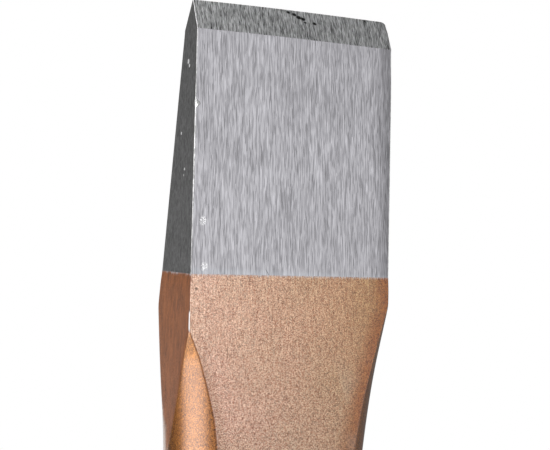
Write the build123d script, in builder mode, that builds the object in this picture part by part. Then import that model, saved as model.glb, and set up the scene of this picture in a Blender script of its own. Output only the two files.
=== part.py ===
from build123d import *
import math
import os

# Cold chisel with a flat-oval shank, in millimetres.
# The origin is the centre of the striking face. +Z runs up the tool to the cutting edge,
# X runs along the cutting edge, and the two broad faces look along -Y and +Y.
# A depth is a distance below the cutting edge.

# Whole tool
overall_length = 250.0

# Flat-oval shank: two broad flats joined by two round sides centred on the middle plane
shank_width = 23.0
shank_thickness = 13.0
side_radius = 8.0

# Blade: a wedge with flat ground narrow sides, and two ground bevels that meet at 60 degrees
edge_width = 25.0
edge_land = 0.2
bevel_depth = 3.45
bevel_angle = 60.0
wedge_depth = 46.8
wedge_blend_radius = 80.0

# Shoulders: the round sides spread towards the blade, where its flat narrow sides cut them
# off. The spread grows as a power of the distance above the shoulders' foot.
shoulder_spread = 3.6
shoulder_power = 4
shoulder_depths = (32.0, 36.0, 41.0, 47.0, 54.0, 62.0, 71.0, 82.0)

# Head: tapers to the striking face, which has a chamfered rim
head_length = 14.0
striking_face_width = 19.4
striking_face_thickness = 10.4
striking_face_chamfer = 0.8

# Lacquer: covers the tool between the ground blade and the ground head
lacquer_thickness = 0.15
lacquer_depth = 31.0
lacquer_bottom = 15.0

# Heights above the striking face
shoulder_top = overall_length - shoulder_depths[0]
shank_top = overall_length - shoulder_depths[-1]
wedge_foot = overall_length - wedge_depth
bevel_foot = overall_length - bevel_depth
lacquer_top = overall_length - lacquer_depth

# Rows of corners in the side view, counted up from the striking face at 0
wedge_foot_row = 2

bevel_foot_thickness = edge_land + 2 * bevel_depth * math.tan(math.radians(bevel_angle / 2))


def half_width_at(depth):
    """Half the width over the round sides of the shoulders, a given depth below the edge."""
    top_depth = shoulder_depths[0]
    foot_depth = shoulder_depths[-1]
    rise = (foot_depth - depth) / (foot_depth - top_depth)
    return shank_width / 2 + shoulder_spread * rise**shoulder_power


def chisel(skin):
    """The whole tool, with its sides and its broad faces grown outwards by skin."""
    round_height = 2 * (side_radius + skin)
    with BuildPart() as tool:
        # Head
        with BuildSketch(Plane.XY):
            SlotOverall(striking_face_width + 2 * skin, round_height)
        with BuildSketch(Plane.XY.offset(head_length)):
            SlotOverall(shank_width + 2 * skin, round_height)
        loft(ruled=True)

        # Straight shank
        with BuildSketch(Plane.XY.offset(head_length)):
            SlotOverall(shank_width + 2 * skin, round_height)
        extrude(amount=shank_top - head_length)

        # Spreading shoulders
        for depth in reversed(shoulder_depths):
            with BuildSketch(Plane.XY.offset(overall_length - depth)):
                SlotOverall(2 * (half_width_at(depth) + skin), round_height)
        loft()

        # Blade, before its broad faces are cut
        with BuildSketch(Plane.XY.offset(shoulder_top)):
            Rectangle(edge_width + 2 * skin, round_height)
        extrude(amount=overall_length - shoulder_top)

        # The side view cuts the broad faces, the wedge, the bevels and the head's taper, and
        # the width of its extrusion cuts the flat narrow sides
        with BuildSketch(Plane.YZ) as side_view:
            with BuildLine():
                Polyline(
                    (0, 0),
                    (striking_face_thickness / 2 + skin, 0),
                    (shank_thickness / 2 + skin, head_length),
                    (shank_thickness / 2 + skin, wedge_foot),
                    (bevel_foot_thickness / 2 + skin, bevel_foot),
                    (edge_land / 2, overall_length),
                    (0, overall_length),
                )
                mirror(about=Plane.YZ)
            make_face()
            corner_rows = side_view.vertices().group_by(Axis.Y)
            fillet(corner_rows[wedge_foot_row], wedge_blend_radius)
        extrude(amount=edge_width / 2 + skin, both=True, mode=Mode.INTERSECT)
    return tool.part


# One solid forging: blade, shoulders, shank and head
with BuildPart() as forged_body:
    add(chisel(0))
    striking_face = forged_body.faces().sort_by(Axis.Z)[0]
    chamfer(striking_face.edges(), striking_face_chamfer)
forged_body.part.label = "forged_body"

# The coat of lacquer, a shell that fits the forging face to face
with BuildPart() as lacquer_coat:
    add(chisel(lacquer_thickness))
    with BuildSketch(Plane.XY.offset(lacquer_bottom)):
        Rectangle(2 * edge_width, 2 * shank_thickness)
    extrude(amount=lacquer_top - lacquer_bottom, mode=Mode.INTERSECT)
    add(forged_body.part, mode=Mode.SUBTRACT)
lacquer_coat.part.label = "lacquer_coat"

os.makedirs("parts", exist_ok=True)
export_step(forged_body.part, "parts/forged_body.step")
export_step(lacquer_coat.part, "parts/lacquer_coat.step")
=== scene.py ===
import math

import bpy
import numpy as np
from mathutils import Matrix, Vector


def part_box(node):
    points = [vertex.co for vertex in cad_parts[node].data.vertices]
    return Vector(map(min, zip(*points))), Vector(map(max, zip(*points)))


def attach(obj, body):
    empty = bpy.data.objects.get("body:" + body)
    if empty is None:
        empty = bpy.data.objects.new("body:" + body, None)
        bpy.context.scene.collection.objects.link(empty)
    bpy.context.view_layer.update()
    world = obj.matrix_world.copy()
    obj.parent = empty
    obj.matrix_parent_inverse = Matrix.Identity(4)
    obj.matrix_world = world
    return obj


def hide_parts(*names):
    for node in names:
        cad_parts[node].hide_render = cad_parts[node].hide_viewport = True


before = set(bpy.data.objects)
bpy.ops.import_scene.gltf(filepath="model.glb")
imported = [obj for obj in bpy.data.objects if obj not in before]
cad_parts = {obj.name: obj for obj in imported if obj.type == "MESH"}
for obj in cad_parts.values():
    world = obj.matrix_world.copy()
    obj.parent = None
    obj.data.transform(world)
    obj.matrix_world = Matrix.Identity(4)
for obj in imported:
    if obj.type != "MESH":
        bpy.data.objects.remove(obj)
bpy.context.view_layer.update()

# Lengths in this script are in millimetres, and MM turns them into Blender's metres.
# Heights are measured up from the striking face, and depths down from the cutting edge.
MM = 0.001

_, steel_high = (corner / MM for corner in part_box("forged_body"))
coat_low, coat_high = (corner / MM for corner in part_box("lacquer_coat"))

# ------------------------------------------------------------------ sizes from the frame

LENGTH = steel_high.z
BLADE_HALF_WIDTH = steel_high.x
SHANK_HALF_THICKNESS = steel_high.y
COAT_THICKNESS = coat_high.x - steel_high.x
COAT_TOP = coat_high.z
COAT_BOTTOM = coat_low.z

# ------------------------------------------------------------------ sizes of the design

SHANK_HALF_WIDTH = 11.65
EDGE_HALF_LAND = 0.1
BEVEL_DEPTH = 3.45
BEVEL_HALF_ANGLE = 30.0
WEDGE_DEPTH = 46.8
WEDGE_SOFTNESS = 0.25
SHOULDER_SPREAD = 3.65
SHOULDER_POWER = 3.95
SHOULDER_TOP_DEPTH = 32.0
SHOULDER_FOOT_DEPTH = 82.0
MOST_SHOULDER_RISE = 1.3
HEAD_LENGTH = 14.0
FACE_HALF_WIDTH = 9.7
FACE_HALF_THICKNESS = 5.2
FACE_CHAMFER = 0.8

# How far the real forging and grinding depart from the design
LEFT_RADIUS = 7.85
RIGHT_RADIUS = 8.4
RADIUS_FALL = 0.7
FRONT_DIE_SHIFT = 0.56
REAR_DIE_SHIFT = 0.33
DIE_SHIFT_FALL = 0.24
DIE_TOP_DEPTH = 30.0
DIE_FOOT_DEPTH = 58.0
DIE_LINE_HALF_WIDTH = 1.5
OFF_DIE_LINE = 5.0
SHIFT_FADE_HEIGHT = 40.0
TONGUE_TIP_DEPTH = 37.6
TONGUE_TIP_STEP = 0.35
TONGUE_STEP_START = 3.4
TONGUE_STEP_END = 0.6
RIGHT_GRIND = 0.14
RIGHT_TOP_GRIND = 0.1
RIGHT_TOP_GRIND_DEPTH = 9.0
LEFT_EDGE_BULGE = 0.16
RIGHT_EDGE_BULGE = 0.07
BEVEL_FOOT_BULGE = 0.08
BEVEL_FOOT_BULGE_LENGTH = 30.0
TIP_CORNER_WEAR = 0.6
TIP_CORNER_WIDTH = 0.8
TIP_CORNER_LENGTH = 1.6
WAVINESS = 0.003
WAVE_WIDTH = 5.0
WAVE_STRETCH = 1.6
WAVE_SEED = 4
WAVE_FADE_TOP = 6.0
WAVE_FADE_FOOT = 20.0
COAT_SHARE = 0.35
COAT_LINE_DROP = 0.06
COAT_LINE_TILT_X = 0.02
COAT_LINE_TILT_Y = -0.03
COAT_TILT_LENGTH = 5.0
BLADE_CORNER = 0.09
SHANK_CORNER = 0.45
SIDE_CREASE = 0.05
LEAST_ROUND_REACH = 0.1
CORNER_GROWTH_TOP = 55.0
CORNER_GROWTH_FOOT = 80.0
BEVEL_CORNER_DROP = 0.05
BEVEL_CORNER_LENGTH = 0.5
NICK_DEPTH_DOWN = 12.0
NICK_HALF_LENGTH = 0.35
NICK_SIZE = 0.55

# Runs of the front corner at -X: the depths where each starts, is full, fades and ends, and
# how much larger the corner is along it. The larger runs are burnished, the other is keener.
CORNER_RUNS = (
    (12.0, 14.0, 21.0, 27.0, 0.06),
    (27.0, 29.0, 34.0, 35.0, -0.05),
    (34.5, 35.5, 37.3, 37.8, 0.03),
)

BEVEL_FOOT = LENGTH - BEVEL_DEPTH
BEVEL_SLOPE = math.tan(math.radians(BEVEL_HALF_ANGLE))
BEVEL_FOOT_HALF_THICKNESS = EDGE_HALF_LAND + BEVEL_DEPTH * BEVEL_SLOPE
SHOULDER_FOOT = LENGTH - SHOULDER_FOOT_DEPTH
TONGUE_FOOT = LENGTH - DIE_FOOT_DEPTH
COAT_DEPTH = LENGTH - COAT_TOP


def smoothstep(low, high, value):
    """0 at low, 1 at high, level beyond them and smooth in between. It falls if low is higher."""
    share = np.clip((value - low) / (high - low), 0, 1)
    return share * share * (3 - 2 * share)


def soft_min(a, b, softness):
    """The smaller of a and b, rounded over where they are about equal."""
    return (a + b - np.sqrt((a - b) ** 2 + softness**2)) / 2


# ------------------------------------------------------------------ shape of the chisel


def half_thickness(z):
    """Half the steel's thickness at a height."""
    depth = LENGTH - z
    bevel = EDGE_HALF_LAND + BEVEL_SLOPE * depth
    growth = SHANK_HALF_THICKNESS - BEVEL_FOOT_HALF_THICKNESS
    wedge_slope = growth / (WEDGE_DEPTH - BEVEL_DEPTH)
    wedge = BEVEL_FOOT_HALF_THICKNESS + wedge_slope * (depth - BEVEL_DEPTH)
    body = soft_min(wedge, SHANK_HALF_THICKNESS, WEDGE_SOFTNESS)
    taper = (SHANK_HALF_THICKNESS - FACE_HALF_THICKNESS) / HEAD_LENGTH
    head = FACE_HALF_THICKNESS + taper * z
    rim = FACE_HALF_THICKNESS - FACE_CHAMFER + z
    return np.minimum(np.minimum(bevel, body), np.minimum(head, rim))


def half_width(z):
    """Half the width over the round sides at a height, before the blade cuts them off."""
    span = SHOULDER_FOOT_DEPTH - SHOULDER_TOP_DEPTH
    rise = np.clip((SHOULDER_FOOT_DEPTH - LENGTH + z) / span, 0, MOST_SHOULDER_RISE)
    shoulder = SHANK_HALF_WIDTH + SHOULDER_SPREAD * rise**SHOULDER_POWER
    taper = (SHANK_HALF_WIDTH - FACE_HALF_WIDTH) / HEAD_LENGTH
    head = FACE_HALF_WIDTH + taper * z
    rim = FACE_HALF_WIDTH - FACE_CHAMFER + z
    return np.minimum(shoulder, np.minimum(head, rim))


def die_depth(z):
    """0 above the shoulders, 1 on the shank: how far the dies' own faults have changed."""
    return smoothstep(DIE_TOP_DEPTH, DIE_FOOT_DEPTH, LENGTH - z)


def side_radius(z, side):
    """The radius of the round side -1 or +1 at a height. It falls towards the shank."""
    return (LEFT_RADIUS if side < 0 else RIGHT_RADIUS) - RADIUS_FALL * die_depth(z)


def side_centre(y, z, side):
    """The x of the round side's centre. The die halves sat a little off to -X from the ground
    blade, the front half, at -Y, by more than the rear half."""
    rear = smoothstep(-DIE_LINE_HALF_WIDTH, DIE_LINE_HALF_WIDTH, y)
    shift = FRONT_DIE_SHIFT + (REAR_DIE_SHIFT - FRONT_DIE_SHIFT) * rear
    shift = (shift - DIE_SHIFT_FALL * die_depth(z)) * smoothstep(0, SHIFT_FADE_HEIGHT, z)
    above = smoothstep(-TONGUE_STEP_START, TONGUE_STEP_END, TONGUE_TIP_DEPTH - LENGTH + z)
    step = (side < 0) * TONGUE_TIP_STEP * above * (1 - rear)
    return half_width(z) - side_radius(z, side) - side * shift + step


def ground_side(z, side):
    """How far the blade's flat narrow side -1 or +1 stands out at a height. The one at +X is
    ground deeper, and most of all at its top."""
    grind = RIGHT_GRIND + RIGHT_TOP_GRIND * smoothstep(LENGTH - RIGHT_TOP_GRIND_DEPTH, BEVEL_FOOT, z)
    return BLADE_HALF_WIDTH - (side > 0) * grind


def side_x(y, z, side, skin):
    """How far the narrow side -1 or +1 stands out at (y, z)."""
    reach = np.maximum((side_radius(z, side) + skin) ** 2 - y**2, LEAST_ROUND_REACH**2)
    round_side = side_centre(y, z, side) + np.sqrt(reach)
    return soft_min(round_side, ground_side(z, side) + skin, SIDE_CREASE)


def crease_y(z, side, facing, skin):
    """How far from the middle plane the blade's flat narrow side meets the round side."""
    reach = ground_side(z, side) + skin - side_centre(OFF_DIE_LINE * facing, z, side)
    return np.sqrt(np.maximum((side_radius(z, side) + skin) ** 2 - reach**2, 0))


# Columns of points round the chisel, for each broad face, corner, round and narrow side
FACE_COLUMNS = 80
CORNER_COLUMNS = 6
ROUND_COLUMNS = 12
NARROW_COLUMNS = 14

# Shares of half the thickness, and lengths, that keep the columns in order
MOST_CORNER = 0.45
LEAST_CREASE = 1 / 3
CREASE_GAP = 0.02
CREASE_BLEND = 0.1


def spaced(count):
    """count shares from 0 to 1, closer together towards both ends."""
    return (1 - np.cos(np.linspace(0, math.pi, count))) / 2


def corner_arc(near, tip, far):
    """The points inside a rounded corner, between near and far."""
    share = np.linspace(0, 1, CORNER_COLUMNS)[1:-1]
    weights = ((1 - share) ** 2, 2 * share * (1 - share), share**2)
    return [sum(w * p[axis] for w, p in zip(weights, (near, tip, far))) for axis in (0, 1)]


def corner_size(z, side, facing):
    """The size of a rounded corner. The front one at -X has a nick and three runs."""
    depth = LENGTH - z
    growth = smoothstep(CORNER_GROWTH_TOP, CORNER_GROWTH_FOOT, depth)
    size = BLADE_CORNER + (SHANK_CORNER - BLADE_CORNER) * growth
    size = size - BEVEL_CORNER_DROP * smoothstep(BEVEL_FOOT - BEVEL_CORNER_LENGTH, BEVEL_FOOT, z)
    if side < 0 and facing < 0:
        size = size + NICK_SIZE * np.exp(-((depth - NICK_DEPTH_DOWN) / NICK_HALF_LENGTH) ** 2)
        for start, full, fade, end, change in CORNER_RUNS:
            size = size + change * smoothstep(start, full, depth) * smoothstep(end, fade, depth)
    return size


def outline(z, skin):
    """Points round the chisel at each height z, as arrays with one row a height: x, y, how
    much of the as-forged round side a point has, how much of the ground narrow side, its
    distance from the nearer corner of its broad face, and 1 on the rounded corners.
    Every row has its points in the same places, so that the edges run along columns."""
    z = np.asarray(z, float)[:, None]
    skin = np.asarray(skin, float).reshape(-1, 1)
    thick = half_thickness(z) + skin
    columns = []
    for side, facing in ((1, -1), (-1, 1)):
        first = np.minimum(corner_size(z, side, facing), MOST_CORNER * thick)
        start = np.minimum(corner_size(z, -side, facing), MOST_CORNER * thick)
        last = np.minimum(corner_size(z, side, -facing), MOST_CORNER * thick)
        lead_crease = crease_y(z, side, facing, skin)
        trail_crease = crease_y(z, side, -facing, skin)
        lead = np.clip(lead_crease, LEAST_CREASE * thick, thick - first - CREASE_GAP)
        trail = np.clip(trail_crease, LEAST_CREASE * thick, thick - last - CREASE_GAP)
        lead_x = side_x(facing * thick, z, side, skin)
        start_x = side_x(facing * thick, z, -side, skin) - start
        share = np.linspace(0, 1, FACE_COLUMNS)
        length = start_x + lead_x - first
        across = -start_x + share * length
        gap = np.minimum(share, 1 - share) * length
        none = 0 * gap
        columns.append((side * across, facing * thick + none, none, none, gap, none))

        heights = np.concatenate((
            thick - first + (lead - thick + first) * spaced(ROUND_COLUMNS)[:-1],
            lead - (lead + trail) * spaced(NARROW_COLUMNS)[:-1],
            -trail + (trail - thick + last) * spaced(ROUND_COLUMNS),
        ), axis=1)
        crease = np.where(heights > 0, lead_crease, trail_crease)
        past_crease = np.abs(heights) - np.where(crease > CREASE_GAP, crease, -1)
        forged = smoothstep(-CREASE_BLEND, CREASE_BLEND, past_crease)
        none = 0 * forged
        side_columns = (side * side_x(facing * heights, z, side, skin), facing * heights,
                        forged, 1 - forged, none, none)

        near = (side * (lead_x - first), facing * thick)
        far = tuple(part[:, :1] for part in side_columns[:2])
        columns.append(corner_columns(near, (side * lead_x, facing * thick), far, forged[:, :1]))
        columns.append(side_columns)
        back_x = side_x(-facing * thick, z, side, skin)
        near = tuple(part[:, -1:] for part in side_columns[:2])
        far = (side * (back_x - last), -facing * thick)
        columns.append(corner_columns(near, (side * back_x, -facing * thick), far, forged[:, -1:]))
    return tuple(np.concatenate([c[part] for c in columns], axis=1) for part in range(6))


def corner_columns(near, tip, far, forged):
    """The columns of outline inside a rounded corner."""
    x, y = corner_arc(near, tip, far)
    return x, y, forged + 0 * x, 1 - forged + 0 * x, 0 * x, 1 + 0 * x


# ------------------------------------------------------------------ meshes


# The numbers that lattice_noise mixes a place into a random value with
HASH_STEPS = (73856093, 19349663, 83492791)
HASH_SIZE = 99991
HASH_TURN = 12.9898
HASH_SPREAD = 43758.5453
SEED_SHIFT = 100.0


def rows_between(*stops):
    """Heights from (height, spacing up to the next height) pairs, ending at the last height."""
    heights = []
    for (start, spacing), (end, _) in zip(stops, stops[1:]):
        count = max(1, round((end - start) / spacing))
        heights += list(np.linspace(start, end, count + 1)[:-1])
    return np.array(heights + [stops[-1][0]])


def lattice_noise(points, size, seed):
    """Smooth noise from -1 to 1 at points, with lumps about as wide as size."""
    cell = points / size + SEED_SHIFT * seed
    corner = np.floor(cell).astype(np.int64)
    inside = cell - corner
    inside = inside * inside * (3 - 2 * inside)
    total = 0
    for offset in np.ndindex(2, 2, 2):
        key = (corner + offset) @ np.array(HASH_STEPS)
        value = np.sin(key % HASH_SIZE * HASH_TURN) * HASH_SPREAD
        value = 2 * (value - np.floor(value)) - 1
        weight = np.prod(np.where(np.array(offset) == 1, inside, 1 - inside), axis=-1)
        total = total + weight * value
    return total


def grid_points(x, y, z):
    """One array of points, rows by columns by 3. The blade's end is ground slightly convex,
    its right tip is worn round, and the forged part is slightly wavy."""
    z = np.broadcast_to(np.asarray(z, float).reshape(len(x), -1), x.shape)
    edge_bulge = np.where(x < 0, LEFT_EDGE_BULGE, RIGHT_EDGE_BULGE)
    bulge = BEVEL_FOOT_BULGE * smoothstep(LENGTH - BEVEL_FOOT_BULGE_LENGTH, BEVEL_FOOT, z)
    bulge = bulge + (edge_bulge - BEVEL_FOOT_BULGE) * smoothstep(BEVEL_FOOT, LENGTH, z)
    corner = np.clip(1 - (BLADE_HALF_WIDTH - x) / TIP_CORNER_WIDTH, 0, 1) ** 2
    drop = bulge * (x / BLADE_HALF_WIDTH) ** 2
    drop = drop + TIP_CORNER_WEAR * corner * smoothstep(LENGTH - TIP_CORNER_LENGTH, LENGTH, z)
    waves = lattice_noise(np.stack((x, y, z / WAVE_STRETCH), axis=-1), WAVE_WIDTH, WAVE_SEED)
    waves = waves * smoothstep(0, WAVE_FADE_TOP, COAT_TOP - z) * smoothstep(0, WAVE_FADE_FOOT, z)
    swell = 1 + WAVINESS * waves
    return np.stack((x * swell, y * swell, z - drop), axis=-1)


def tube_faces(rows, columns, first=0):
    """Quads of a grid closed round its columns, wound so that they face outwards."""
    faces = []
    for row in range(rows - 1):
        low = first + row * columns
        for column in range(columns):
            after = (column + 1) % columns
            faces.append((low + column, low + after, low + columns + after, low + columns + column))
    return faces


def add_cap(points, faces, loop, rings, upwards):
    """Closes a loop of vertices with rings that shrink to a point in its middle."""
    rim = [points[i] for i in loop]
    middle = tuple(sum(p[axis] for p in rim) / len(rim) for axis in range(3))
    previous = list(loop)
    for ring in range(1, rings):
        share = 1 - ring / rings
        current = list(range(len(points), len(points) + len(rim)))
        points += [tuple(m + share * (c - m) for c, m in zip(p, middle)) for p in rim]
        for i in range(len(rim)):
            j = (i + 1) % len(rim)
            quad = (previous[i], previous[j], current[j], current[i])
            faces.append(quad if upwards else quad[::-1])
        previous = current
    points.append(middle)
    for i in range(len(rim)):
        triangle = (previous[i], previous[(i + 1) % len(rim)], len(points) - 1)
        faces.append(triangle if upwards else triangle[::-1])


def mesh_object(name, points, faces, slots, materials, attributes=None, sharp=()):
    """A smooth-shaded mesh object in metres, with one material index a face and named numbers
    on its points, which its materials read. sharp holds loops of points whose edges are crisp."""
    mesh = bpy.data.meshes.new(name)
    mesh.from_pydata([tuple(MM * c for c in p) for p in points], [], faces)
    for material in materials:
        mesh.materials.append(material)
    mesh.polygons.foreach_set("material_index", slots)
    mesh.polygons.foreach_set("use_smooth", [True] * len(faces))
    for key, values in (attributes or {}).items():
        attribute = mesh.attributes.new(key, "FLOAT", "POINT")
        attribute.data.foreach_set("value", np.asarray(values, np.float32))
    crisp = set()
    for loop in sharp:
        crisp.update(frozenset(pair) for pair in zip(loop, loop[1:] + loop[:1]))
    for edge in mesh.edges:
        edge.use_edge_sharp = frozenset(edge.vertices) in crisp
    mesh.update()
    piece = bpy.data.objects.new(name, mesh)
    bpy.context.scene.collection.objects.link(piece)
    return piece


def grid_attributes(named, count):
    """Numbers on a grid's points, with 0 on the points after them, count points in all."""
    return {
        key: np.concatenate((values.ravel(), np.zeros(count - values.size)))
        for key, values in named.items()
    }


def column_regions():
    """For each column, whether it is on a narrow side, corners included."""
    side_columns = 2 * (CORNER_COLUMNS - 2) + 2 * ROUND_COLUMNS + NARROW_COLUMNS - 2
    half = [False] * (FACE_COLUMNS - 1) + [True] * (side_columns + 1)
    return half + half


# The forging's materials, in their order in its mesh
FACE_SLOT, BEVEL_SLOT, SIDE_SLOT, HEAD_SLOT, STRIKING_SLOT = range(5)

# Where the head's material ends, under the lacquer, and how close the rows round the foot of
# the bevel are kept to it
HEAD_TOP = COAT_BOTTOM + 1
FOOT_HALF_BAND = 0.12

# Rings of faces that close the striking face and the cutting edge, and how far the steel
# draws back under the lacquer, as a share of the lacquer's thickness
STRIKING_RINGS = 8
EDGE_RINGS = 2
DRAWN_BACK = 0.5


def make_forging(materials):
    """The steel, which draws back a little where the lacquer hides it."""
    z = rows_between(
        (0, 0.2), (FACE_CHAMFER, 0.6), (HEAD_LENGTH, 0.5), (HEAD_TOP, 5), (TONGUE_FOOT, 0.4),
        (COAT_TOP - 2, 0.15), (BEVEL_FOOT - FOOT_HALF_BAND, 0.06),
        (BEVEL_FOOT + FOOT_HALF_BAND, 0.14), (LENGTH, 0),
    )
    hidden = smoothstep(0.6, 1.6, COAT_TOP - z) * smoothstep(0.6, 1.0, z - COAT_BOTTOM)
    x, y, _, _, gap, corner = outline(z, -DRAWN_BACK * COAT_THICKNESS * hidden)
    grid = grid_points(x, y, z)
    rows, columns = x.shape
    points = [tuple(p) for p in grid.reshape(-1, 3)]
    faces = tube_faces(rows, columns)
    on_side = column_regions()
    slots = []
    for row in range(rows - 1):
        middle = (z[row] + z[row + 1]) / 2
        for column in range(columns):
            if middle < HEAD_TOP:
                slots.append(HEAD_SLOT)
            elif on_side[column]:
                slots.append(SIDE_SLOT)
            else:
                slots.append(BEVEL_SLOT if middle > BEVEL_FOOT else FACE_SLOT)
    bottom_rim = list(range(columns))
    top_rim = list(range((rows - 1) * columns, rows * columns))
    add_cap(points, faces, bottom_rim, STRIKING_RINGS, upwards=False)
    add_cap(points, faces, top_rim, EDGE_RINGS, upwards=True)
    slots += [STRIKING_SLOT] * columns * STRIKING_RINGS + [BEVEL_SLOT] * columns * EDGE_RINGS
    attributes = grid_attributes({"edge_gap": gap, "corner": corner}, len(points))
    rims = [bottom_rim, top_rim]
    return mesh_object("forging", points, faces, slots, materials, attributes, rims)


def coat_line_offset(x, y):
    """How far above its design height the lacquer's top line is at a point round the blade."""
    return COAT_LINE_TILT_X * x + COAT_LINE_TILT_Y * y - COAT_LINE_DROP


def coat_grid(z, skin):
    """One surface of the lacquer, with its top line tilted, and the numbers on its points."""
    x, y, forged, ground, gap, corner = outline(z, skin)
    z = np.broadcast_to(z[:, None], x.shape)
    raised = z + coat_line_offset(x, y) * smoothstep(COAT_TOP - COAT_TILT_LENGTH, COAT_TOP, z)
    skin = np.broadcast_to(np.reshape(skin, (-1, 1)), x.shape)
    y = y * (half_thickness(raised) + skin) / (half_thickness(z) + skin)
    named = {
        "forged_side": forged, "ground_side": ground, "edge_gap": gap,
        "below_line": COAT_TOP - z, "corner": corner,
    }
    return grid_points(x, y, raised), named


def make_coat(material):
    """The lacquer: an outer and an inner surface, joined at its top and bottom lines."""
    z = rows_between(
        (COAT_BOTTOM, 0.1), (COAT_BOTTOM + 0.6, 1.5), (SHOULDER_FOOT + 20, 0.8),
        (TONGUE_FOOT, 0.4), (COAT_TOP - 2, 0.1), (COAT_TOP, 0),
    )
    skin = COAT_SHARE * COAT_THICKNESS * smoothstep(-0.4, 2, COAT_TOP - z)
    skin *= smoothstep(-0.1, 0.6, z - COAT_BOTTOM)
    outer, named = coat_grid(z, skin)
    rows, columns = outer.shape[:2]
    inner_z = rows_between(
        (COAT_BOTTOM, 5), (SHOULDER_FOOT, 2), (TONGUE_FOOT, 0.4), (COAT_TOP, 0),
    )
    inner, _ = coat_grid(inner_z, 0 * inner_z)
    points = [tuple(p) for p in outer.reshape(-1, 3)] + [tuple(p) for p in inner.reshape(-1, 3)]
    first_inner = rows * columns
    faces = tube_faces(rows, columns)
    faces += [face[::-1] for face in tube_faces(len(inner_z), columns, first_inner)]
    for low, high in ((first_inner, 0),
                      ((rows - 1) * columns, first_inner + (len(inner_z) - 1) * columns)):
        for column in range(columns):
            after = (column + 1) % columns
            faces.append((low + column, low + after, high + after, high + column))
    attributes = grid_attributes(named, len(points))
    rims = [list(range(first, first + columns)) for first in
            (0, (rows - 1) * columns, first_inner, len(points) - columns)]
    return mesh_object("lacquer", points, faces, [0] * len(faces), [material], attributes, rims)


# ------------------------------------------------------------------ materials


# The way a pattern moves along x, y and z for each millimetre of its shift
SHIFT_WAY = (1.0, 0.7, 0.4)


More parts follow.
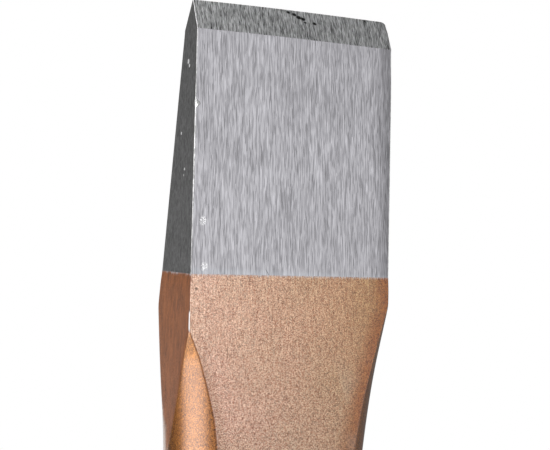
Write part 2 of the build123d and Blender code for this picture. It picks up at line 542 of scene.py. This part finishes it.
class Shader:
    """A node material and short ways of adding nodes to it. Lengths are in millimetres."""

    def __init__(self, name):
        self.material = bpy.data.materials.new(name)
        self.material.use_nodes = True
        self.tree = self.material.node_tree
        self.bsdf = self.tree.nodes["Principled BSDF"]
        self.place = self.tree.nodes.new("ShaderNodeTexCoord").outputs["Object"]

    def feed(self, socket, value):
        """Links a socket to another one, or sets its own value."""
        if isinstance(value, bpy.types.NodeSocket):
            self.tree.links.new(value, socket)
        else:
            socket.default_value = value

    def set(self, **values):
        """Sets or links inputs of the principled shader, named with _ for a space."""
        for name, value in values.items():
            self.feed(self.bsdf.inputs[name.replace("_", " ")], value)

    def math(self, operation, *values):
        """The result of one math node, fed with numbers or sockets."""
        node = self.tree.nodes.new("ShaderNodeMath")
        node.operation = operation
        for socket, value in zip(node.inputs, values):
            self.feed(socket, value)
        return node.outputs[0]

    def placed(self, size, turn, shift):
        """The shaded point, turned and moved, in units of size millimetres."""
        mapping = self.tree.nodes.new("ShaderNodeMapping")
        mapping.vector_type = "TEXTURE"
        self.feed(mapping.inputs["Vector"], self.place)
        mapping.inputs["Location"].default_value = tuple(way * shift * MM for way in SHIFT_WAY)
        mapping.inputs["Rotation"].default_value = tuple(math.radians(angle) for angle in turn)
        mapping.inputs["Scale"].default_value = tuple(MM * s for s in size)
        return mapping.outputs[0]

    def noise(self, size, detail=2.0, turn=(0, 0, 0), shift=0.0):
        """Noise from 0 to 1 whose lumps are size millimetres wide along x, y and z."""
        node = self.tree.nodes.new("ShaderNodeTexNoise")
        self.feed(node.inputs["Vector"], self.placed(size, turn, shift))
        node.inputs["Scale"].default_value = 1.0
        node.inputs["Detail"].default_value = detail
        return node.outputs["Fac"]

    def cells(self, size, turn=(0, 0, 0), shift=0.0):
        """A random number from 0 to 1 for each of the cells, about size millimetres wide."""
        node = self.tree.nodes.new("ShaderNodeTexVoronoi")
        self.feed(node.inputs["Vector"], self.placed(size, turn, shift))
        node.inputs["Scale"].default_value = 1.0
        parts = self.tree.nodes.new("ShaderNodeSeparateColor")
        self.feed(parts.inputs[0], node.outputs["Color"])
        return parts.outputs[0]

    def remap(self, value, low, high, to_low=0.0, to_high=1.0, smooth=False):
        """The value's place from low to high, as a number from to_low to to_high."""
        node = self.tree.nodes.new("ShaderNodeMapRange")
        node.interpolation_type = "SMOOTHSTEP" if smooth else "LINEAR"
        for name, number in (("From Min", low), ("From Max", high),
                             ("To Min", to_low), ("To Max", to_high)):
            node.inputs[name].default_value = number
        self.feed(node.inputs["Value"], value)
        return node.outputs[0]

    def rise(self, value, start, end):
        """0 below start, 1 above end, and smooth in between."""
        return self.remap(value, start, end, smooth=True)

    def fall(self, value, start, end):
        """1 below start, 0 above end, and smooth in between."""
        return self.remap(value, start, end, 1.0, 0.0, smooth=True)

    def blend(self, share, a, b, mode="MIX"):
        """The colour from a to b at a share, or a as the blend mode changes it by b."""
        node = self.tree.nodes.new("ShaderNodeMix")
        node.data_type = "RGBA"
        node.blend_type = mode
        self.feed(node.inputs["Factor"], share)
        self.feed(node.inputs[6], a)
        self.feed(node.inputs[7], b)
        return node.outputs[2]

    def tint(self, share, colour, factor):
        """The colour, times the factor where the share is 1."""
        return self.blend(share, colour, factor, "MULTIPLY")

    def bump(self, height, distance):
        """A normal bent by height, which is 0 to 1 over distance millimetres."""
        node = self.tree.nodes.new("ShaderNodeBump")
        node.inputs["Distance"].default_value = distance * MM
        self.feed(node.inputs["Height"], height)
        return node.outputs[0]

    def attribute(self, name):
        """A number that the mesh holds on its points."""
        node = self.tree.nodes.new("ShaderNodeAttribute")
        node.attribute_name = name
        return node.outputs["Fac"]

    def mix(self, share, a, b):
        """The number between a and b at a share."""
        return self.math("ADD", self.math("MULTIPLY", share, self.math("SUBTRACT", b, a)), a)

    def opposite(self, share):
        """1 where the share is 0, and 0 where it is 1."""
        return self.math("SUBTRACT", 1.0, share)

    def product(self, *values):
        """All the values multiplied together."""
        total = values[0]
        for value in values[1:]:
            total = self.math("MULTIPLY", total, value)
        return total

    def axis(self, index):
        """The x, y or z of the shaded point."""
        node = self.tree.nodes.new("ShaderNodeSeparateXYZ")
        self.feed(node.inputs[0], self.place)
        return self.math("DIVIDE", node.outputs[index], MM)

    def depth(self):
        """How far below the cutting edge the shaded point is."""
        return self.math("SUBTRACT", LENGTH, self.axis(2))

    def across(self):
        """0 on the narrow side at -X, and 1 on the one at +X."""
        return self.remap(self.axis(0), -BLADE_HALF_WIDTH, BLADE_HALF_WIDTH)

    def rear(self):
        """1 on the rear half, and 0 on the front half."""
        return self.math("GREATER_THAN", self.axis(1), 0.0)

    def spot(self, axis, across, depth, half_width, half_length, lean=0.0):
        """1 inside a soft-edged ellipse, by millimetres along x or y and down from the edge."""
        v = self.math("SUBTRACT", self.depth(), depth)
        u = self.math("SUBTRACT", self.axis(axis), across)
        u = self.math("ADD", u, self.math("MULTIPLY", v, lean))
        u = self.math("DIVIDE", u, half_width)
        v = self.math("DIVIDE", v, half_length)
        radius = self.math("ADD", self.product(u, u), self.product(v, v))
        return self.fall(radius, 0.3, 1.0)


def grey(value, tint=(1.0, 1.0, 1.0)):
    """A grey of a brightness, or nearly grey with a tint."""
    return (value * tint[0], value * tint[1], value * tint[2], 1.0)


STEEL_TINT = (1.0, 0.985, 1.045)
BEVEL_TINT = (1.0, 1.01, 1.02)

# Colours of the lacquer, in the grooves of its grain and on its flakes
FACE_DARK = (0.35, 0.108, 0.050, 1)
FACE_PALE = (1.0, 0.72, 0.565, 1)
NARROW_DARK = (0.10, 0.028, 0.004, 1)
NARROW_PALE = (0.42, 0.138, 0.038, 1)
ROUND_DARK = (0.12, 0.03, 0.001, 1)
ROUND_PALE = (0.72, 0.27, 0.052, 1)
WORN_LACQUER = (0.40, 0.36, 0.30, 1)
DIRT = (0.10, 0.05, 0.03, 1)

# Marks: how far across the face they are and how far down from the edge, and half a size
SCUFFS = ((-11.2, 25.2), (-10.9, 30.3))
PITS = (
    (-0.7, 0.3, 0.3), (0.05, 0.5, 0.34), (0.55, 0.8, 0.4),
    (1.1, 0.95, 0.36), (1.3, 1.35, 0.22), (2.5, 1.35, 0.32),
)
FLECKS = (
    (0.2, 7.2, 0.36), (-0.2, 7.7, 0.25), (1.1, 15.4, 0.22), (-0.7, 19.5, 0.22), (-0.5, 20.2, 0.16),
)


def ground_steel(name, fine, coarse, turn, dark, light, roughness, depth):
    """Ground steel, whose grinding lines are noise stretched along the way it was ground.
    Gives the shader and the colour of its lines."""
    s = Shader(name)
    longer = (1.25 * fine[0], fine[1], 2.2 * fine[2])
    lines = s.mix(0.5, s.cells(fine, turn, shift=3), s.cells(longer, turn, shift=17))
    lines = s.remap(lines, 0.12, 0.88)
    marks = s.remap(s.noise(coarse, detail=1.0, turn=turn, shift=11), 0.3, 0.7)
    tone = s.mix(0.07, lines, marks)
    s.set(
        Metallic=1.0,
        Roughness=s.remap(tone, 0, 1, roughness + 0.06, roughness - 0.04),
        Normal=s.bump(tone, depth),
    )
    return s, s.blend(tone, dark, light)


def broad_face_steel():
    """The blade's broad faces: cloudy, darkened towards +X and most of all along the +X edge
    by painted shade, bluer along the lacquer, with two scuffs and a scratch."""
    s, colour = ground_steel(
        "ground_broad_face", (0.055, 0.6, 1.0), (0.5, 1.2, 8.0), (0, 0, 10),
        grey(0.20, STEEL_TINT), grey(0.515, STEEL_TINT), 0.38, 0.002,
    )
    # Painted shade: the steel is painted darker towards +X, for the light that falls off across the
    # face.
    colour = s.tint(s.across(), colour, grey(0.92))
    clouds = s.remap(s.noise((6.0, 6.0, 6.0), detail=1.0, shift=4), 0.35, 0.65)
    colour = s.tint(clouds, colour, grey(0.94))
    # Painted shade: a darker band painted along the +X edge, as if the edge turned away from the
    # light.
    painted_edge_shade = s.product(s.rise(s.axis(0), 0, 1), s.fall(s.attribute("edge_gap"), 0, 2.4))
    colour = s.tint(painted_edge_shade, colour, grey(0.58))
    rim = s.product(s.remap(s.depth(), COAT_DEPTH - 0.7, COAT_DEPTH - 0.2), 0.16)
    colour = s.blend(rim, colour, (0.55, 0.60, 0.66, 1))
    haze = s.remap(s.noise((0.12, 0.12, 0.12), detail=0.0), 0.45, 0.6)
    for across, depth in SCUFFS:
        scuff = s.product(s.spot(0, across, depth, 0.5, 0.6), haze, 0.7)
        colour = s.blend(scuff, colour, grey(0.95))
    # Painted light: the rear face is painted 1.4 times lighter, and made less metallic, than the
    # front one.
    rear = s.rear()
    colour = s.tint(rear, colour, grey(1.4))
    scratch = s.product(s.spot(0, -3.2, 30.7, 0.07, 0.55, lean=-0.65), 0.7)
    s.set(
        Base_Color=s.blend(scratch, colour, grey(0.12)),
        Metallic=s.mix(rear, 1.0, 0.6),
    )
    return s.material


def bevel_steel():
    """The two bevels and the cutting edge, coarsely ground, with pits beside the edge."""
    s, colour = ground_steel(
        "ground_bevel", (0.06, 0.6, 0.6), (0.4, 1.2, 1.6), (0, 8, 10),
        grey(0.03, BEVEL_TINT), grey(0.95, BEVEL_TINT), 0.36, 0.004,
    )
    for across, depth, size in PITS:
        pit = s.spot(0, across, depth, size, 0.7 * size, lean=-0.2)
        colour = s.blend(pit, colour, grey(0.02))
    # Painted shade: the rear bevel is painted half as bright as the front one.
    s.set(Base_Color=s.tint(s.rear(), colour, grey(0.5)))
    return s.material


def narrow_side_steel():
    """The blade's narrow sides and corners, with painted shade that makes the side at -X
    five times darker and less metallic, and flecks there.
    """
    s, colour = ground_steel(
        "ground_narrow_side", (0.15, 0.15, 0.35), (0.5, 0.5, 1.4), (0, 0, 30),
        grey(0.34), grey(0.86), 0.42, 0.003,
    )
    # Painted shade: the side at -X, but not its corners, is painted five times darker and made less
    # metallic.
    left = s.math("LESS_THAN", s.axis(0), 0.0)
    left = s.product(left, s.opposite(s.attribute("corner")))
    colour = s.tint(left, colour, grey(0.2))
    flecks = None
    for across, depth, size in FLECKS:
        fleck = s.spot(1, across, depth, size, size)
        flecks = fleck if flecks is None else s.math("MAXIMUM", flecks, fleck)
    s.set(
        Base_Color=s.blend(flecks, colour, grey(0.42)),
        Metallic=s.product(s.mix(left, 1.0, 0.5), s.opposite(flecks)),
    )
    return s.material


def head_steel():
    """The bare head, ground round and round."""
    s, colour = ground_steel(
        "ground_head", (1.2, 1.2, 0.16), (3.0, 3.0, 0.4), (0, 0, 0),
        grey(0.38), grey(0.62), 0.36, 0.006,
    )
    s.set(Base_Color=colour)
    return s.material


def striking_face_steel():
    """The striking face, ground straight across."""
    s, colour = ground_steel(
        "striking_face", (0.15, 2.2, 1.0), (0.5, 5.0, 1.0), (0, 0, 25),
        grey(0.36), grey(0.62), 0.38, 0.008,
    )
    s.set(Base_Color=colour)
    return s.material


def lacquer_on_faces(s, grain, dots, depth):
    """The lacquer's colour on the broad faces: cloudy, with painted shade that makes it browner
    towards +X and most of all along that edge, and along the -X edge on the shoulders, and
    worn in patches on the +X side."""
    across = s.across()
    low = s.remap(depth, 34, 50)
    right = s.rise(s.axis(0), 0, 1)
    gap = s.attribute("edge_gap")
    clouds = s.remap(s.noise((7.0, 7.0, 9.0), shift=2), 0.35, 0.65)
    colour = s.blend(grain, FACE_DARK, FACE_PALE)
    colour = s.tint(s.product(clouds, 0.5), colour, (0.9, 0.97, 0.88, 1))
    # Painted shade: the lacquer is painted browner and darker towards +X, for the light falling off
    # across the face.
    colour = s.tint(across, colour, (0.535, 0.445, 0.228, 1))
    colour = s.tint(s.product(low, across), colour, (0.90, 0.97, 1.12, 1))
    colour = s.tint(s.product(low, s.opposite(across)), colour, (0.90, 0.86, 0.86, 1))
    # Painted shade: darker bands painted along the +X edge and, on the shoulders, along the -X edge.
    right_edge_shade = s.product(right, s.fall(gap, 0.2, 2.8))
    colour = s.tint(right_edge_shade, colour, (0.74, 0.46, 0.24, 1))
    left_edge_shade = s.product(s.opposite(right), s.fall(gap, 0.3, 1.6), s.rise(depth, 36, 44))
    colour = s.tint(left_edge_shade, colour, (0.80, 0.78, 0.74, 1))
    patches = s.remap(s.noise((5.0, 5.0, 7.0), detail=1.0, shift=23), 0.5, 0.7)
    worn = s.product(
        patches, right, s.remap(depth, 38, 46, 0.0, 0.5, smooth=True), s.fall(depth, 50, 75),
    )
    colour = s.blend(worn, colour, WORN_LACQUER)
    return s.tint(dots, colour, grey(0.5))


def lacquer_on_narrow_sides(s, grain):
    """The lacquer's colour on the ground narrow sides, dark and mottled along the blade."""
    mottle = s.remap(s.noise((0.6, 0.6, 2.5), shift=13), 0.35, 0.65)
    return s.blend(s.mix(0.3, grain, mottle), NARROW_DARK, NARROW_PALE)


def lacquer_on_round_sides(s, grain, dots, depth):
    """The lacquer's colour on the as-forged round sides, with a painted highlight that makes it
    palest at the tongue's tip.
    """
    colour = s.blend(grain, ROUND_DARK, ROUND_PALE)
    colour = s.tint(dots, colour, grey(0.5))
    # Painted highlight: the lacquer is painted paler and whiter towards the tongue's tip.
    return s.tint(s.fall(depth, 39.5, 42.5), colour, (1.28, 1.38, 1.55, 1))


def dirt_marks(s, ground):
    """1 on a speck and a score on the broad face, and on a score on the narrow side."""
    speck = s.spot(0, -11.8, 32.8, 0.22, 0.22)
    score = s.spot(0, -7.9, 39.8, 0.06, 0.9)
    side_score = s.spot(1, -1.45, 35.0, 0.06, 0.8, lean=-0.15)
    on_face = s.product(s.math("MAXIMUM", speck, score), s.opposite(ground))
    return s.math("MAXIMUM", on_face, s.product(side_score, ground))


def copper_lacquer():
    """A translucent copper lacquer with metal flakes. It is paler over the ground faces, where
    the grinding lines show through at first, and deeper over the as-forged round sides."""
    s = Shader("copper_lacquer")
    depth = s.depth()
    forged = s.attribute("forged_side")
    ground = s.attribute("ground_side")
    corner = s.attribute("corner")
    front = s.math("LESS_THAN", s.axis(1), 0.0)

    flakes = s.remap(s.cells((0.055, 0.055, 0.075), (35, 25, 40), shift=5), 0.12, 0.88)
    lines = s.cells((0.06, 0.6, 1.0), (0, 0, 10), shift=7)
    through = s.remap(depth, COAT_DEPTH, COAT_DEPTH + 18, 0.38, 0.12)
    grain = s.mix(through, flakes, lines)
    dots = s.remap(s.cells((0.1, 0.1, 0.13), (20, 50, 10), shift=29), 0.45, 1.0)

    face = lacquer_on_faces(s, grain, dots, depth)
    narrow = lacquer_on_narrow_sides(s, grain)
    round_side = lacquer_on_round_sides(s, grain, dots, depth)
    colour = s.blend(forged, s.blend(ground, face, narrow), round_side)
    # Painted shade: the rounded corners are painted darker, most of all beside the ground narrow
    # sides.
    colour = s.tint(s.product(corner, ground), colour, (0.5, 0.4, 0.3, 1))
    colour = s.tint(s.product(corner, forged), colour, (0.7, 0.6, 0.5, 1))

    steel = s.blend(lines, grey(0.22, STEEL_TINT), grey(0.50, STEEL_TINT))
    reach = s.math("SUBTRACT", s.attribute("below_line"), s.product(lines, 0.25))
    bare = s.fall(reach, -0.32, 0.17)
    colour = s.blend(bare, colour, steel)

    # Painted highlight: a pale line painted on the front corner at -X, near the tongue's tip.
    painted_corner_highlight = s.product(corner, s.spot(0, -BLADE_HALF_WIDTH, 36.4, 1.0, 1.3), front)
    colour = s.blend(painted_corner_highlight, colour, grey(0.7))
    dirt = s.product(dirt_marks(s, ground), 0.75)
    s.set(
        Base_Color=s.blend(dirt, colour, DIRT),
        # Painted light: the lacquer on the rear broad faces is made less metallic than on the front,
        # so that it looks lighter.
        Metallic=s.mix(ground, s.mix(forged, s.mix(front, 0.65, 1.0), 0.85), 0.4),
        Roughness=s.mix(forged, s.remap(grain, 0, 1, 0.50, 0.40), 0.34),
        Coat_Weight=s.product(s.mix(forged, 0.35, 1.0), s.opposite(bare)),
        Coat_Roughness=0.17,
        Coat_IOR=1.95,
        Normal=s.bump(s.mix(ground, grain, s.mix(0.8, 0.5, grain)), 0.006),
    )
    return s.material


forging = make_forging([
    broad_face_steel(), bevel_steel(), narrow_side_steel(), head_steel(), striking_face_steel(),
])
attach(forging, "root")
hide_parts("forged_body")

lacquer = make_coat(copper_lacquer())
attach(lacquer, "root")
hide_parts("lacquer_coat")

# ------------------------------------------------------------------ camera

CAMERA_AZIMUTH = -23.44
CAMERA_ELEVATION = 0.74
CAMERA_ROLL = 3.6
CAMERA_DISTANCE = 165.0
CAMERA_AIM = Vector((-0.48, 0.18, LENGTH - 25.29))
CAMERA_LENS = 91.64
CAMERA_SENSOR = 36.0


def towards(azimuth, elevation):
    """The unit vector from the object towards an azimuth and elevation, with 0, 0 at -Y."""
    a = math.radians(azimuth)
    e = math.radians(elevation)
    return Vector((math.sin(a) * math.cos(e), -math.cos(a) * math.cos(e), math.sin(e)))


def make_camera():
    """The camera, which sees the blade and the shoulders from the front left."""
    camera = bpy.data.objects.new("camera", bpy.data.cameras.new("camera"))
    bpy.context.scene.collection.objects.link(camera)
    away = towards(CAMERA_AZIMUTH, CAMERA_ELEVATION)
    camera.location = (CAMERA_AIM + away * CAMERA_DISTANCE) * MM
    level = (-away).to_track_quat("-Z", "Y").to_matrix()
    roll = Matrix.Rotation(math.radians(CAMERA_ROLL), 3, "Z")
    camera.rotation_euler = (level @ roll).to_euler()
    camera.data.lens = CAMERA_LENS
    camera.data.sensor_width = CAMERA_SENSOR
    camera.data.clip_start = 0.01
    camera.data.clip_end = 10.0
    bpy.context.scene.camera = camera


make_camera()

# ------------------------------------------------------------------ floor and light


FLOOR_RADIUS = 400.0
FLOOR_SIDES = 96
SOFTBOX_AIM = Vector((0, 0, 0.7 * LENGTH))

# Lobes of the studio: azimuth, elevation, the angle of the full part, the angle where it
# ends, and strength, which adds to the strength all round
STUDIO_BASE = 0.26
STUDIO_LOBES = (
    (-76, 5, 18, 38.5, 3.4),
    (18, 5, 10, 44, 1.70),
    (-140, 0, 22, 46, -0.24),
    (115, 0, 25, 48, -0.1),
    (75, -5, 5, 28, 0.45),
    (180, -22, 8, 34, 0.8),
    (175, 65, 10, 40, 0.6),
    (0, -90, 40, 84, 0.35),
)


def make_floor():
    """A round, pale, matte floor that the chisel stands on."""
    points = [(0.0, 0.0, 0.0)]
    points += [
        (FLOOR_RADIUS * math.cos(turn), FLOOR_RADIUS * math.sin(turn), 0.0)
        for turn in np.linspace(0, 2 * math.pi, FLOOR_SIDES + 1)[:-1]
    ]
    faces = [(0, i, i % FLOOR_SIDES + 1) for i in range(1, FLOOR_SIDES + 1)]
    s = Shader("pale_floor")
    mottle = s.noise((30, 30, 30), detail=3.0)
    s.set(
        Base_Color=s.blend(mottle, grey(0.78), grey(0.84)),
        Roughness=0.8,
    )
    floor = mesh_object("floor", points, faces, [0] * len(faces), [s.material])


def add_softbox(name, azimuth, elevation, distance, width, height, power):
    """A soft area light that faces the blade, placed by its direction from it."""
    data = bpy.data.lights.new(name, "AREA")
    data.shape = "RECTANGLE"
    data.size = width * MM
    data.size_y = height * MM
    data.energy = power
    light = bpy.data.objects.new(name, data)
    bpy.context.scene.collection.objects.link(light)
    away = towards(azimuth, elevation)
    light.location = (SOFTBOX_AIM + away * distance) * MM
    light.rotation_euler = (-away).to_track_quat("-Z", "Y").to_euler()
    light.visible_camera = False


def make_world():
    """White where the camera sees it, and a studio of soft grey lobes where the metal does."""
    world = bpy.data.worlds.new("studio")
    bpy.context.scene.world = world
    world.use_nodes = True
    tree = world.node_tree
    tree.nodes.clear()
    direction = tree.nodes.new("ShaderNodeTexCoord").outputs["Generated"]
    total = None
    for azimuth, elevation, inner, outer, strength in STUDIO_LOBES:
        dot = tree.nodes.new("ShaderNodeVectorMath")
        dot.operation = "DOT_PRODUCT"
        tree.links.new(direction, dot.inputs[0])
        dot.inputs[1].default_value = towards(azimuth, elevation)
        lobe = tree.nodes.new("ShaderNodeMapRange")
        lobe.interpolation_type = "SMOOTHSTEP"
        lobe.inputs["From Min"].default_value = math.cos(math.radians(outer))
        lobe.inputs["From Max"].default_value = math.cos(math.radians(inner))
        lobe.inputs["To Max"].default_value = strength
        tree.links.new(dot.outputs["Value"], lobe.inputs["Value"])
        joined = tree.nodes.new("ShaderNodeMath")
        joined.operation = "ADD"
        tree.links.new(lobe.outputs[0], joined.inputs[0])
        if total is None:
            joined.inputs[1].default_value = STUDIO_BASE
        else:
            tree.links.new(total, joined.inputs[1])
        total = joined.outputs[0]
    studio = tree.nodes.new("ShaderNodeBackground")
    tree.links.new(total, studio.inputs["Strength"])
    white = tree.nodes.new("ShaderNodeBackground")
    rays = tree.nodes.new("ShaderNodeLightPath")
    mix = tree.nodes.new("ShaderNodeMixShader")
    tree.links.new(rays.outputs["Is Camera Ray"], mix.inputs["Fac"])
    tree.links.new(studio.outputs[0], mix.inputs[1])
    tree.links.new(white.outputs[0], mix.inputs[2])
    white.inputs["Color"].default_value = (1, 1, 1, 1)
    output = tree.nodes.new("ShaderNodeOutputWorld")
    tree.links.new(mix.outputs[0], output.inputs["Surface"])


make_floor()
make_world()
add_softbox("key_softbox", -60, 62, 600, 320, 320, 3.0)
add_softbox("back_softbox", 160, 58, 650, 620, 620, 2.4)
bpy.context.scene.view_settings.view_transform = "Standard"
